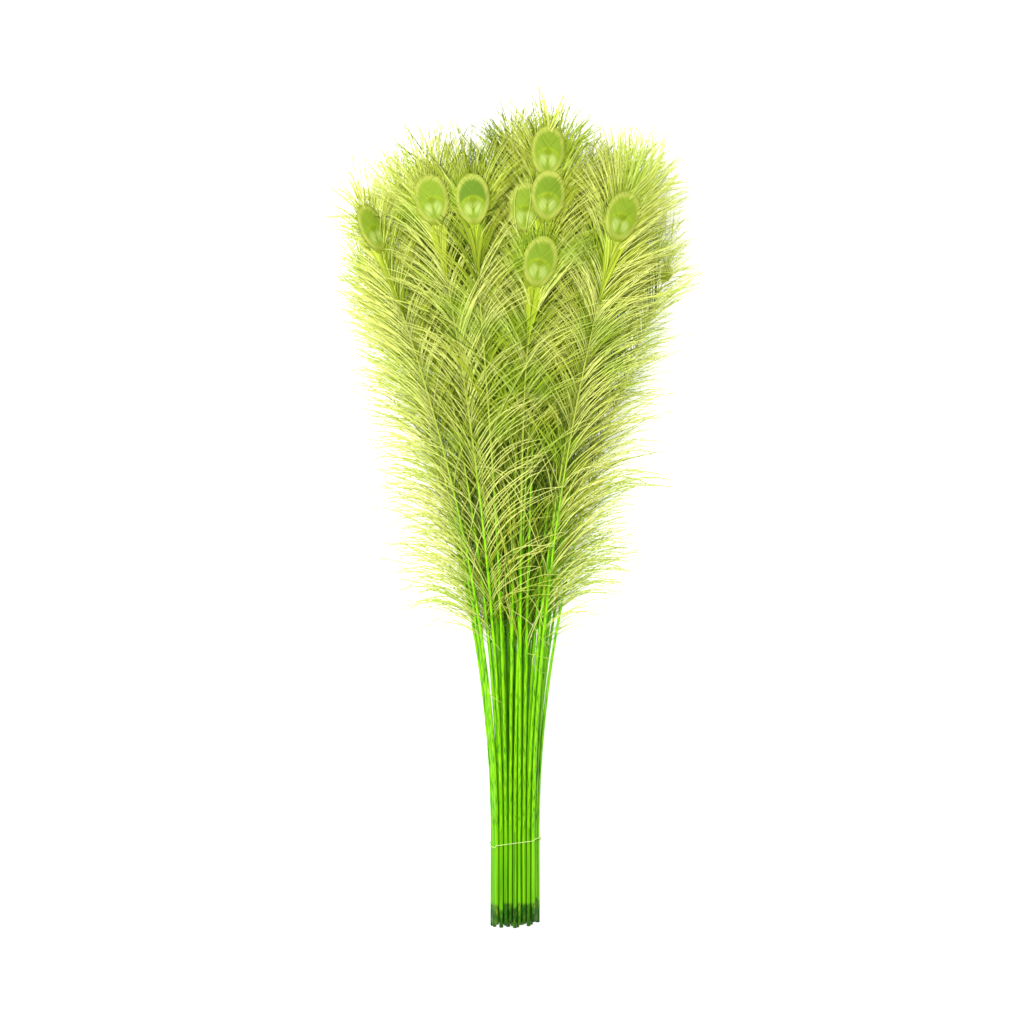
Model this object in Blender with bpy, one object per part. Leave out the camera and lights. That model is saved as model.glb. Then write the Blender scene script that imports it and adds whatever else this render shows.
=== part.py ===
# A tied bunch of dyed peacock tail feathers, lying on a surface.
# X is across the bunch, +Y runs from the cut quills to the feather tips, +Z is up.
# Lengths here are millimetres. Meshes are turned to metres when they are made.
import math
import random

import bmesh
import bpy
from mathutils import Vector

MM = 0.001

# The quills at the tie: rows from the bottom up, packed side by side
ROW_COUNTS = (8, 9, 10, 11, 10, 9)
QUILL_PITCH = 5.2
ROW_PITCH = 4.6
QUILL_RADIUS = 2.4
SHAFT_END_RADIUS = 0.7
CUT_UNEVENNESS = 9.0
SPREAD_START = 110.0

# The string round the quills
TIE_Y = 97.0
TIE_SLANT = 0.12
TIE_SLACK = 2.2
STRING_RADIUS = 0.6
STRING_GAP = 0.4
STRING_POINTS = 24
KNOT_ANGLE = -52.0
KNOT_SWELL = 1.9
STRING_SIDES_RESOLUTION = 1

# How the heads fan out and lie on each other
SPREAD_POWER = 1.9
LEVELS_PER_ROW = 3
LEVEL_PITCH = 7.5
LEVEL_FULL_Y = 800.0
LIFT_POWER = 0.9
TOUCH_DOWN_Y = 250.0
DROOP_REACH = 200.0
DROOP_SHARE = 0.25
ROW_SPREAD = (122.0, 148.0, 164.0, 168.0, 150.0)
CROWN_EYE_Y = 872.0
CROWN_MIDDLE_X = 20.0
CROWN_FALL = 0.0026
STAGGERS = (0.0, 78.0, 34.0, 118.0, 12.0, 96.0, 52.0)
SIDE_STAGGER_SHARE = 0.75
HEAD_JITTER = 5.0

# The top row, whose eyes show best: eye centre x, eye centre y, extra lean of the head
TOP_HEADS = (
    (-158.0, 787.0, 0.0),
    (-91.0, 815.0, 0.0),
    (-46.0, 813.0, 4.0),
    (11.0, 806.0, 0.0),
    (36.0, 818.0, 0.0),
    (27.0, 746.0, 17.0),
    (36.0, 868.0, 0.0),
    (99.0, 739.0, 4.0),
    (117.0, 796.0, 5.0),
)
LEAN_POWER = 8.0

# The vanes: each lock is a sheaf of barbs, named by its length and its angle to the shaft
VANE_START = 322.0
VANE_START_RANGE = 42.0
QUILL_TO_VANE = 12.0
LOCK_LENGTH_LOW = 106.0
LOCK_LENGTH_HIGH = 84.0
LOCK_ANGLE_LOW = 74.0
LOCK_ANGLE_HIGH = 33.0
LOCK_ANGLE_POWER = 1.5
ROOT_SHARE = 0.42
ROOT_ZONE = 0.12
LOCK_STEP = 0.12
NOTCH_STEP = 0.48
NOTCH_SHARE = 0.52
LOCKS_SHOWN = 7
LOCKS_COVERED = 3
LENGTH_VARIATION = 0.10

# Room kept between feathers: the least gap, the stretch past a neighbour's vane that still
# counts as the vane, the height in shaft radii at which two vanes may lap, how far below
# a barb's tip its neighbours still hold it back, and the steps by which it is cut back
CLEARANCE = 0.6
VANE_MARGIN = 75.0
LAP_RADII = 1.3
LOOK_BACK = 26.0
CUT_BACK = 0.95
SHORTEST_LOCK = 4.0

# The head past the last plain lock, from the eye's centre: shaft station, barb length, barb angle
HEAD_SECTIONS = (
    (-52.0, 84.0, 33.0),
    (-30.0, 16.0, 62.0),
    (-14.0, 76.0, 31.0),
    (3.0, 26.0, 46.0),
    (10.0, 63.0, 26.0),
    (21.0, 22.0, 31.0),
)
COVERED_HEAD_SECTIONS = 4
HEAD_LENGTH = 74.0
LOWER_ZONE_END = -72.0

# Finish of the bare feather and of the string
FEATHER_COLOUR = (0.42, 0.60, 0.04, 1.0)
FEATHER_ROUGHNESS = 0.55
STRING_COLOUR = (0.62, 0.72, 0.36, 1.0)
STRING_ROUGHNESS = 0.85
SEED = 7


def clear_scene():
    for thing in list(bpy.data.objects):
        bpy.data.objects.remove(thing, do_unlink=True)


def plain_material(name, colour, roughness):
    material = bpy.data.materials.new(name)
    material.use_nodes = True
    shader = material.node_tree.nodes["Principled BSDF"]
    shader.inputs["Base Color"].default_value = colour
    shader.inputs["Roughness"].default_value = roughness
    shader.inputs["Metallic"].default_value = 0.0
    return material


# Each feather's place in the bunch
def lowest_quill_z():
    return 2 * STRING_RADIUS + STRING_GAP + QUILL_RADIUS


def covered_head(row, column, count, chance):
    """Eye place of a feather under the top row."""
    side = 2 * column / (count - 1) - 1
    x = ROW_SPREAD[row] * side + chance.uniform(-HEAD_JITTER, HEAD_JITTER)
    stagger = STAGGERS[(3 * row + column) % len(STAGGERS)]
    stagger *= 1 - (1 - SIDE_STAGGER_SHARE) * abs(side)
    y = CROWN_EYE_Y - CROWN_FALL * (x - CROWN_MIDDLE_X) ** 2 - stagger
    return x, y, 0.0


def plan_bunch():
    chance = random.Random(SEED)
    plan = []
    for row, count in enumerate(ROW_COUNTS):
        top = row == len(ROW_COUNTS) - 1
        for column in range(count):
            if top:
                head_x, eye_y, lean = TOP_HEADS[column]
            else:
                head_x, eye_y, lean = covered_head(row, column, count, chance)
            plan.append({
                "base_x": (column - (count - 1) / 2) * QUILL_PITCH,
                "base_z": lowest_quill_z() + row * ROW_PITCH,
                "level": LEVELS_PER_ROW * row + column % LEVELS_PER_ROW,
                "head_x": head_x,
                "eye_y": eye_y,
                "lean": lean,
                "cut_y": chance.uniform(0, CUT_UNEVENNESS),
                "vane_y": VANE_START + chance.uniform(0, VANE_START_RANGE),
                "shown": top or column in (0, count - 1) or row == 0,
                "seed": len(plan),
            })
    lowest = min(plan, key=lambda feather: feather["cut_y"])
    lowest["cut_y"] = 0.0
    return plan


def path_x(feather, y):
    """Shaft centre across the bunch. Past the eye the shaft's line runs on straight."""
    eye_y = feather["eye_y"]
    if y > eye_y:
        step = 1.0
        slope = (path_x(feather, eye_y) - path_x(feather, eye_y - step)) / step
        return path_x(feather, eye_y) + slope * (y - eye_y)
    along = max(0.0, (y - SPREAD_START) / (eye_y - SPREAD_START))
    swing = feather["head_x"] - feather["base_x"] - feather["lean"]
    return feather["base_x"] + swing * along ** SPREAD_POWER + feather["lean"] * along ** LEAN_POWER


def shaft_radius(feather, y):
    share = min(1.0, y / feather["eye_y"])
    return QUILL_RADIUS + (SHAFT_END_RADIUS - QUILL_RADIUS) * share


def path_z(feather, y):
    """Shaft centre height before the pile's droop towards its sides."""
    if feather["level"] == 0:
        settle = min(1.0, max(0.0, (y - SPREAD_START) / (TOUCH_DOWN_Y - SPREAD_START)))
        return shaft_radius(feather, y) + (1 - settle) * (2 * STRING_RADIUS + STRING_GAP)
    lift = min(1.0, max(0.0, (y - SPREAD_START) / (LEVEL_FULL_Y - SPREAD_START))) ** LIFT_POWER
    return feather["base_z"] * (1 - lift) + (feather["level"] * LEVEL_PITCH + SHAFT_END_RADIUS) * lift


def keel_z(feather, y):
    """Lowest line of the vane. The feathers at the very bottom lie flat on the surface."""
    return 0.0 if feather["level"] == 0 else path_z(feather, y) - shaft_radius(feather, y)


def edge_z(feather, y):
    return 0.0 if feather["level"] == 0 else path_z(feather, y)


def droop(x, z):
    return z * (1 - DROOP_SHARE * (x / DROOP_REACH) ** 2)


# The vanes
def clear_width(plan, feather, y, side):
    """How far the vane may reach to one side at y before it meets a neighbour."""
    own_x = path_x(feather, y)
    own_radius = shaft_radius(feather, y)
    width = math.inf
    for other in plan:
        if other is feather or y > other["eye_y"] + HEAD_LENGTH + VANE_MARGIN:
            continue
        gap_x = side * (path_x(other, y) - own_x)
        if gap_x <= 0:
            continue
        gap_z = abs(path_z(other, y) - path_z(feather, y)) - CLEARANCE
        radius = shaft_radius(other, y)
        if gap_z >= own_radius + radius:
            continue
        if y < other["vane_y"] - VANE_MARGIN:
            limit = gap_x - radius - CLEARANCE
        elif gap_z >= LAP_RADII * max(own_radius, radius):
            limit = gap_x - CLEARANCE
        else:
            limit = (gap_x - CLEARANCE) / 2
        width = min(width, limit)
    return max(width, own_radius)


def barb_tip(feather, y, side, length, angle):
    """Where barbs of this length end that leave the shaft at y, before their neighbours stop them."""
    step = 1.0
    along = Vector((path_x(feather, y + step) - path_x(feather, y), step)).normalized()
    across = Vector((along.y, -along.x)) * side
    turn = math.radians(angle)
    return Vector((path_x(feather, y), y)) + length * (math.cos(turn) * along + math.sin(turn) * across)


def vane_sections(feather):
    """Stations up the vane: y on the shaft, barb length, angle. Long and short ones make the locks."""
    first, last = feather["vane_y"], feather["eye_y"] + LOWER_ZONE_END
    count = LOCKS_SHOWN if feather["shown"] else LOCKS_COVERED
    pitch = (last - first) / count
    sections = []
    for index in range(count):
        for step, share in ((LOCK_STEP, 1.0), (NOTCH_STEP, NOTCH_SHARE)):
            y = first + (index + step) * pitch
            up = (y - first) / (feather["eye_y"] - first)
            length = LOCK_LENGTH_LOW + (LOCK_LENGTH_HIGH - LOCK_LENGTH_LOW) * up
            length *= min(1.0, ROOT_SHARE + (1 - ROOT_SHARE) * up / ROOT_ZONE)
            angle = LOCK_ANGLE_HIGH + (LOCK_ANGLE_LOW - LOCK_ANGLE_HIGH) * (1 - up) ** LOCK_ANGLE_POWER
            sections.append((y, length * share, angle))
    head = HEAD_SECTIONS if feather["shown"] else HEAD_SECTIONS[:COVERED_HEAD_SECTIONS]
    for station, length, angle in head:
        sections.append((feather["eye_y"] + station, length, angle))
    return sections


def fitted_tip(plan, feather, y, side, length, angle):
    """The barb's tip, with the barb cut back along its own line until it clears its neighbours."""
    while True:
        tip = barb_tip(feather, y, side, length, angle)
        reach = side * (tip.x - path_x(feather, tip.y))
        room = min(clear_width(plan, feather, tip.y - back, side) for back in (0.0, LOOK_BACK))
        if reach <= room or length < SHORTEST_LOCK:
            return tip
        length *= CUT_BACK


def shaft_and_edges(feather, y, edges):
    x = path_x(feather, y)
    ridge = path_z(feather, y) + shaft_radius(feather, y)
    return [edges[0], (x, y, ridge), edges[1], (x, y, keel_z(feather, y))]


def vane_start_ring(feather, y):
    x, z, radius = path_x(feather, y), path_z(feather, y), shaft_radius(feather, y)
    return shaft_and_edges(feather, y, [(x - radius, y, z), (x + radius, y, z)])


def vane_ring(plan, feather, y, length, angle, chance):
    """Left edge, ridge, right edge and keel of one station."""
    edges = []
    for side in (-1, 1):
        grown = length * (1 + chance.uniform(-1, 1) * LENGTH_VARIATION)
        tip = fitted_tip(plan, feather, y, side, grown, angle)
        edges.append((tip.x, tip.y, edge_z(feather, tip.y)))
    return shaft_and_edges(feather, y, edges)


def quill_ring(feather, y):
    """Six points round the bare shaft, from its left side over the top."""
    radius = shaft_radius(feather, y)
    x, z = path_x(feather, y), path_z(feather, y)
    ring = []
    for corner in range(6):
        turn = math.pi - corner * math.pi / 3
        ring.append((x + radius * math.cos(turn), y, z + radius * math.sin(turn)))
    return ring


def join_rings(mesh, lower, upper):
    """Walls between two rings with as many points each, listed clockwise as seen from the quill end."""
    count = len(lower)
    for index in range(count):
        after = (index + 1) % count
        mesh.faces.new((lower[index], upper[index], upper[after], lower[after]))


def join_quill_to_vane(mesh, quill, vane):
    """Walls from the six-sided shaft to the four-pointed start of the vane."""
    left, top_left, top_right, right, low_right, low_left = quill
    edge_left, ridge, edge_right, keel = vane
    mesh.faces.new((left, edge_left, ridge, top_left))
    mesh.faces.new((top_left, ridge, top_right))
    mesh.faces.new((top_right, ridge, edge_right, right))
    mesh.faces.new((right, edge_right, keel, low_right))
    mesh.faces.new((low_right, keel, low_left))
    mesh.faces.new((low_left, keel, edge_left, left))


def feather_rings(plan, feather):
    chance = random.Random(SEED * 1000 + feather["seed"])
    first = feather["vane_y"]
    middle = (SPREAD_START + first) / 2
    stations = (feather["cut_y"], SPREAD_START, middle, first - QUILL_TO_VANE)
    quill = [quill_ring(feather, y) for y in stations]
    vane = [vane_start_ring(feather, first)]
    for y, length, angle in vane_sections(feather):
        vane.append(vane_ring(plan, feather, y, length, angle, chance))
    tip_y = feather["eye_y"] + HEAD_LENGTH
    return quill, vane, (path_x(feather, tip_y), tip_y, edge_z(feather, tip_y))


def build_feather(name, plan, feather, shift, material):
    def vertex(point):
        x, y, z = point
        return mesh.verts.new(((x - shift.x) * MM, (y - shift.y) * MM, droop(x, z) * MM))

    quill, vane, tip = feather_rings(plan, feather)
    mesh = bmesh.new()
    quill_verts = [[vertex(point) for point in ring] for ring in quill]
    vane_verts = [[vertex(point) for point in ring] for ring in vane]
    mesh.faces.new(quill_verts[0])
    for lower, upper in zip(quill_verts, quill_verts[1:]):
        join_rings(mesh, lower, upper)
    join_quill_to_vane(mesh, quill_verts[-1], vane_verts[0])
    for lower, upper in zip(vane_verts, vane_verts[1:]):
        join_rings(mesh, lower, upper)
    end = vertex(tip)
    last = vane_verts[-1]
    for index, corner in enumerate(last):
        mesh.faces.new((corner, end, last[(index + 1) % len(last)]))
    bmesh.ops.triangulate(mesh, faces=mesh.faces)
    bmesh.ops.recalc_face_normals(mesh, faces=mesh.faces)
    return finished(name, mesh, material)


def finished(name, mesh, material):
    data = bpy.data.meshes.new(name)
    mesh.to_mesh(data)
    mesh.free()
    data.materials.append(material)
    thing = bpy.data.objects.new(name, data)
    bpy.context.scene.collection.objects.link(thing)
    return thing


# The string
def string_points(plan):
    """A loop laid round the outside of the packed quills, pulled snug."""
    points = []
    off = QUILL_RADIUS + STRING_GAP + STRING_RADIUS
    for index in range(STRING_POINTS):
        turn = 2 * math.pi * index / STRING_POINTS
        outward = (math.cos(turn), math.sin(turn))
        corner = max(plan, key=lambda quill: quill["base_x"] * outward[0] + quill["base_z"] * outward[1])
        x = corner["base_x"] + off * outward[0]
        z = corner["base_z"] + off * outward[1]
        points.append((x, TIE_Y + TIE_SLANT * x + TIE_SLACK * math.sin(turn * 2), z))
    return points


def build_string(name, plan, shift, material):
    curve = bpy.data.curves.new(name, "CURVE")
    curve.dimensions = "3D"
    curve.bevel_depth = STRING_RADIUS * MM
    curve.bevel_resolution = STRING_SIDES_RESOLUTION
    points = string_points(plan)
    spline = curve.splines.new("POLY")
    spline.points.add(len(points) - 1)
    spline.use_cyclic_u = True
    knot = round(len(points) * (KNOT_ANGLE % 360) / 360)
    for index, (x, y, z) in enumerate(points):
        spline.points[index].co = ((x - shift.x) * MM, (y - shift.y) * MM, z * MM, 1.0)
        spline.points[index].radius = KNOT_SWELL if index == knot else 1.0
    curve.materials.append(material)
    thing = bpy.data.objects.new(name, curve)
    bpy.context.scene.collection.objects.link(thing)
    return thing


def middle_of(plan):
    """Middle of the whole bunch in X and Y, so that the part's own origin is under its middle."""
    points = []
    for feather in plan:
        quill, vane, tip = feather_rings(plan, feather)
        points += [point for ring in quill + vane for point in ring] + [tip]
    xs = [point[0] for point in points]
    ys = [point[1] for point in points]
    return Vector(((min(xs) + max(xs)) / 2, (min(ys) + max(ys)) / 2))


def main():
    clear_scene()
    plan = plan_bunch()
    shift = middle_of(plan)
    feather_material = plain_material("dyed_feather", FEATHER_COLOUR, FEATHER_ROUGHNESS)
    for number, feather in enumerate(plan, start=1):
        build_feather(f"feather_{number:02d}", plan, feather, shift, feather_material)
    string_material = plain_material("tie_string", STRING_COLOUR, STRING_ROUGHNESS)
    build_string("tie_string", plan, shift, string_material)


main()
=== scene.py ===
import math
import random

import bmesh
import bpy
import numpy as np
from mathutils import Matrix, Vector


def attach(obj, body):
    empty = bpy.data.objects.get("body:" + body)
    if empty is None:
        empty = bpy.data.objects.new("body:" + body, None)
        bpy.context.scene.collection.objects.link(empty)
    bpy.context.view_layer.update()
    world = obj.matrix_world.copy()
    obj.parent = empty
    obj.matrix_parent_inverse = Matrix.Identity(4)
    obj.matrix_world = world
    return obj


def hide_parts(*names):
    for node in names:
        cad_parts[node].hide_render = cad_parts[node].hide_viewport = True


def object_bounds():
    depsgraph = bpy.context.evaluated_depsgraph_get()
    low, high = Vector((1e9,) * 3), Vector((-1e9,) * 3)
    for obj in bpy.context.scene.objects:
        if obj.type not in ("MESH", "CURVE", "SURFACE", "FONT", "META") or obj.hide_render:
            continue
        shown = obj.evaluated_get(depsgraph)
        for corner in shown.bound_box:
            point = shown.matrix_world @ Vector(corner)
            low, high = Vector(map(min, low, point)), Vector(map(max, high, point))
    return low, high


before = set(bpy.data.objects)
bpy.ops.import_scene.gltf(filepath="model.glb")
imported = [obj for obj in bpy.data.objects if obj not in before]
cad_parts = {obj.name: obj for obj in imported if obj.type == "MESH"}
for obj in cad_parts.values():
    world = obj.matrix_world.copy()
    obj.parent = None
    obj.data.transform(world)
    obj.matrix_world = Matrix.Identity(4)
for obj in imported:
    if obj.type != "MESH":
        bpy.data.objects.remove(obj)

# A tied bunch of bleached and lime-dyed peacock tail feathers, lying on a pale floor.
# Lengths are millimetres until a mesh is placed. y runs from the cut quills to the tips.
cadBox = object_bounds()
mm = 0.001
scene = bpy.context.scene
scene.view_settings.view_transform = "Standard"

bunch = {
    "rowCounts": (8, 9, 10, 11, 10, 9),
    "quillPitch": 5.2,
    "rowPitch": 4.6,
    "quillRadius": 2.4,
    "shaftEndRadius": 0.7,
    "cutUnevenness": 9.0,
    "spreadStart": 110.0,
    "spreadPower": 1.9,
    "leanPower": 8.0,
    "levelsPerRow": 3,
    "levelPitch": 7.5,
    "levelFullY": 800.0,
    "liftPower": 0.9,
    "touchDownY": 250.0,
    "droopReach": 200.0,
    "droopShare": 0.25,
    "rowSpread": (122.0, 148.0, 164.0, 168.0, 150.0),
    "crownEyeY": 872.0,
    "crownMiddleX": 20.0,
    "crownFall": 0.0026,
    "staggers": (0.0, 78.0, 34.0, 118.0, 12.0, 96.0, 52.0),
    "sideStaggerShare": 0.75,
    "headJitter": 5.0,
    "vaneStart": 322.0,
    "vaneStartRange": 42.0,
    "seed": 7,
}

# Eye centre x, eye centre y and extra lean of each feather in the top row
topHeads = (
    (-158.0, 787.0, 0.0),
    (-91.0, 815.0, 0.0),
    (-46.0, 813.0, 4.0),
    (11.0, 806.0, 0.0),
    (36.0, 818.0, 0.0),
    (27.0, 746.0, 17.0),
    (36.0, 868.0, 0.0),
    (99.0, 739.0, 4.0),
    (117.0, 796.0, 5.0),
)

stringLay = {
    "radius": 0.6,
    "gap": 0.4,
    "y": 97.0,
    "slant": 0.12,
    "slack": 2.2,
    "points": 96,
    "plyPitch": 3.6,
    "plyApart": 0.26,
    "plyRadius": 0.33,
    "knotRadius": 1.5,
    "knotAngle": -52.0,
    "knotLoops": 2.5,
    "knotWide": 1.2,
    "knotTall": 1.1,        # these two against its radius
    "knotFlat": 0.6,
    "tailLength": 17.0,
    "tailSway": 1.5,
    "tailAside": 1.0,
    "steps": 60,
    "knotPoints": 110,
    "tailPoints": 90,
}

# The camera hangs over the bunch, as far off as the photo's slight perspective asks
cameraPlace = {
    "middleX": -3.4,
    "middleY": 474.5,
    "sharpHeight": 45.0,
    "distance": 1900.0,
    "frameWidth": 1157.0,
    "sensorWidth": 36.0,
}


def planFeather(row, column, count, chance):
    top = row == len(bunch["rowCounts"]) - 1
    if top:
        headX, eyeY, lean = topHeads[column]
    else:
        side = 2 * column / (count - 1) - 1
        headX = bunch["rowSpread"][row] * side + chance.uniform(-bunch["headJitter"], bunch["headJitter"])
        stagger = bunch["staggers"][(3 * row + column) % len(bunch["staggers"])]
        stagger *= 1 - (1 - bunch["sideStaggerShare"]) * abs(side)
        eyeY = bunch["crownEyeY"] - bunch["crownFall"] * (headX - bunch["crownMiddleX"]) ** 2 - stagger
        lean = 0.0
    lowestZ = 2 * stringLay["radius"] + stringLay["gap"] + bunch["quillRadius"]
    return {
        "baseX": (column - (count - 1) / 2) * bunch["quillPitch"],
        "baseZ": lowestZ + row * bunch["rowPitch"],
        "level": bunch["levelsPerRow"] * row + column % bunch["levelsPerRow"],
        "headX": headX,
        "eyeY": eyeY,
        "lean": lean,
        "cutY": chance.uniform(0, bunch["cutUnevenness"]),
        "vaneY": bunch["vaneStart"] + chance.uniform(0, bunch["vaneStartRange"]),
        "row": row,
        "column": column,
        "outer": column in (0, count - 1),
        "top": top,             # it lies with its face up
        "shown": top or row == 0,
    }


def planBunch():
    chance = random.Random(bunch["seed"])
    plan = []
    for row, count in enumerate(bunch["rowCounts"]):
        for column in range(count):
            plan.append(planFeather(row, column, count, chance))
    min(plan, key=lambda feather: feather["cutY"])["cutY"] = 0.0
    return plan


def shaftX(feather, y):
    y = np.asarray(y, float)
    eyeY, lean = feather["eyeY"], feather["lean"]
    along = np.clip((y - bunch["spreadStart"]) / (eyeY - bunch["spreadStart"]), 0.0, 1.0)
    swing = feather["headX"] - feather["baseX"] - lean
    x = feather["baseX"] + swing * along ** bunch["spreadPower"] + lean * along ** bunch["leanPower"]
    slope = (swing * bunch["spreadPower"] + lean * bunch["leanPower"]) / (eyeY - bunch["spreadStart"])
    return x + np.maximum(y - eyeY, 0.0) * slope


def shaftRadius(feather, y):
    share = np.minimum(1.0, np.asarray(y, float) / feather["eyeY"])
    return bunch["quillRadius"] + (bunch["shaftEndRadius"] - bunch["quillRadius"]) * share


def shaftZ(feather, y):
    y = np.asarray(y, float)
    if feather["level"] == 0:
        reach = bunch["touchDownY"] - bunch["spreadStart"]
        settle = np.clip((y - bunch["spreadStart"]) / reach, 0.0, 1.0)
        return shaftRadius(feather, y) + (1 - settle) * (2 * stringLay["radius"] + stringLay["gap"])
    reach = bunch["levelFullY"] - bunch["spreadStart"]
    lift = np.clip((y - bunch["spreadStart"]) / reach, 0.0, 1.0) ** bunch["liftPower"]
    fullHeight = feather["level"] * bunch["levelPitch"] + bunch["shaftEndRadius"]
    return feather["baseZ"] * (1 - lift) + fullHeight * lift


# The pile sags towards its sides, so every height is let down by its distance from the middle
def droop(points):
    sag = 1 - bunch["droopShare"] * (points[..., 0] / bunch["droopReach"]) ** 2
    points[..., 2] *= sag
    return points


plan = planBunch()

# Where the plan's own zero lies in the frame: read from the first feather's cut end
firstCut = np.array([v.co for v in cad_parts["feather_01"].data.vertices])
firstCut = firstCut[firstCut[:, 1] < firstCut[:, 1].min() + 0.0001]
shiftX = plan[0]["baseX"] * mm - float(firstCut[:, 0].min() + firstCut[:, 0].max()) / 2
shiftY = -cadBox[0].y


def toFrame(points):
    points = np.asarray(points, float) * mm
    points[..., 0] -= shiftX
    points[..., 1] -= shiftY
    return points


# Shafts and quills: a round tube that tapers to the eye, open where the quill was cut
shaft = {
    "sides": 8,
    "step": 22.0,           # between rings, up the shaft
    "pastEye": 4.0,         # the shaft fades into the eye this far above its middle
    "wallThickness": 0.55,
    "openDepth": 5.0,
    "narrows": (300.0, 420.0),      # where it goes from its full radius to that of the vane
    "endShare": 0.35,       # radius at the very tip against the plan's
    "vaneShare": 0.82,      # the same along the vane, where barbs hide the shaft's sides
}

# Barbs, as sheaves that lean together
barb = {
    "pitchShown": (4.3, 2.0),     # mm between barbs of a side: lowest, highest
    "pitchCovered": (6.5, 2.7),
    "thickens": (0.30, 0.95),     # shares up the vane between which the barbs draw closer
    "heldShares": (0.95, 0.75, 0.5, 0.35, 0.2, 0.15),   # barbs left between neighbours, by row
    "freeFrom": 0.42,             # of the way out to the bunch's side, where barbs begin to spread
    "freeOver": 0.5,
    "freeJitter": 0.12,
    "highFrom": 0.35,             # of the way up, where all barbs begin to spread
    "highOver": 0.4,
    "leadIn": 14.0,         # the lowest barbs start this far below the vane proper
    "stopBelowEye": 20.0,
    "lengthLow": 126.0,
    "lengthHigh": 84.0,
    "rootShare": 0.55,
    "rootZone": 0.08,
    "lengthJitter": 0.12,
    "startAngle": (34.0, 20.0),   # to the shaft, at the root: lowest barbs, highest barbs
    "endAngle": (120.0, 34.0),    # to the shaft, at the tip
    "heldStart": 15.0,            # the same for barbs held in between neighbours
    "heldEnd": 40.0,
    "endPower": 0.74,
    "bendPower": 0.9,
    "angleJitter": (5.0, 2.5),    # lowest barbs, highest barbs
    "sheafSize": 2.4,
    "sheafTurn": (8.0, 4.5),
    "sheafLength": 0.14,
    "swellRange": (-0.45, 0.22),  # most that a barb falls short of or passes its length
    "rootTurns": 0.5,             # share of a sheaf's turn at the root and at the tip
    "tipTurns": 1.6,
    "sheafPull": 0.55,            # how far a sheaf's tips draw together
    "pullPower": 1.5,
    "waveAngle": (17.0, 8.0),
    "wavePace": (0.7, 1.3),
    "lift": 3.0,
    "liftArch": 0.8,
    "sheafLift": 4.5,
    "ownLift": 1.5,
    "ridge": 0.9,                 # height of a barb's ridge against its half width
    "widths": ((0, 0.44), (0.4, 0.45), (0.8, 0.30), (1.0, 0.12)),   # half a barb, root to tip
    "widthRange": (0.85, 1.15),
    "paleness": 0.62,             # 0 is the darkest barb, 1 the palest, and single barbs and
    "ownTone": 0.15,              # sheaves vary by so much
    "sheafTone": 0.29,
    "toneDarkens": 0.6,           # how much darker a feather's barbs are by its tone: its dye depth, and painted shade deep in the bunch
    "fringeSidesPaintedLight": 0.62,          # painted light: how much paler the free barbs of the outermost heads are painted
    "fringeFurther": 0.2,
    "sidesPaintedLight": 1.0,              # painted light: how much paler the free barbs at the bunch's open sides are painted
    "closeDims": 0.45,            # less of it where the barbs stand close
    "lightStart": 0.5,            # such barbs start this far along their colours
    "innerShort": 0.2,            # inner barbs stop this far short of the palest tip colour
    # painted light: the top row's barbs are painted paler, as if lit on top of the pile
    "topPaintedLight": 0.25,
    "heldPaintedShade": 0.27,             # painted shade: how much darker barbs are painted that lie between neighbours
    "hiddenTones": (0.0, 0.4),    # how deep the lower rows' dye is
    "innerPaintedShade": 0.6,           # painted shade: how much darker the feathers deep in the bunch are painted
    "innerWithin": 0.5,
    "innerOver": 0.35,
    "segmentsLow": 7,
    "segmentsHigh": 5,
    "wildShare": 0.05,            # of the fringe, so many stray longer and wider than the rest
    "wildLonger": 0.35,
    "wildTurn": 12.0,
    "lowZone": 0.5,
}

# How pale each kind of barb is and how much that varies, where its root and tip lie on the barb's
# colours, and how wide it is
barbKinds = {
    "fringe": (-0.28, 0.2, 0.25, 0.75, 0.80),
    # the sweeping barbs lie over the others and are painted paler: their own pale colour, and painted light
    "sweep": (0.17, 0.2, 0.2, 0.95, 1.1),
    "rim": (-0.25, 0.15, 0.35, 0.6, 0.62),
    "throat": (-0.34, 0.1, 0.3, 0.55, 1.0),
    "tuft": (0.05, 0.15, 0.3, 0.85, 0.9),
    "fine": (0.4, 0.0, 0.3, 1.0, 0.9),
    "bold": (0.4, 0.0, 0.3, 1.0, 1.5),
}

# Long single barbs: feather of the top row, root, then places passed. The fine ones flop over the
# quills and stand out at the sides, and the bold ones cross in arcs over the middle of the vanes
strays = {"fine": (
    (2, 372.0, ((9, 358), (23, 347), (29, 331), (41, 315))),
    (0, 278.0, ((-28, 268), (-14, 259))),
    (6, 316.0, ((41, 309), (61, 310), (76, 303))),
    (7, 322.0, ((17, 307), (24, 296), (37, 293))),
    (0, 405.0, ((-32, 383), (-20, 364))),
    (0, 346.0, ((-27, 333), (-13, 315))),
    (8, 330.0, ((47, 322), (66, 331), (73, 347))),
    (3, 744.0, ((10, 770), (14, 799), (20, 819), (14, 832))),
    (3, 750.0, ((2, 782), (-3, 808), (5, 836))),
    (3, 758.0, ((13, 780), (24, 796), (28, 812))),
    (6, 892.0, ((33, 915), (24, 938))),
    (6, 890.0, ((45, 910), (55, 931))),
    (8, 820.0, ((152, 850), (194, 872))),
    (8, 690.0, ((152, 712), (199, 724))),
    (0, 796.0, ((-184, 803), (-209, 799))),
    (0, 806.0, ((-182, 825), (-204, 838))),
), "bold": (
    (1, 676.0, ((-52, 722), (-20, 760), (6, 776))),
    (1, 660.0, ((-48, 706), (-12, 744), (16, 758))),
    (1, 640.0, ((-44, 690), (-6, 730), (24, 742))),
    (1, 622.0, ((-46, 672), (-10, 712), (22, 726))),
    (1, 604.0, ((-44, 652), (-8, 690), (20, 704))),
    (1, 588.0, ((-46, 634), (-14, 668), (12, 684))),
    (1, 570.0, ((-44, 614), (-12, 646), (14, 660))),
)}

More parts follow.
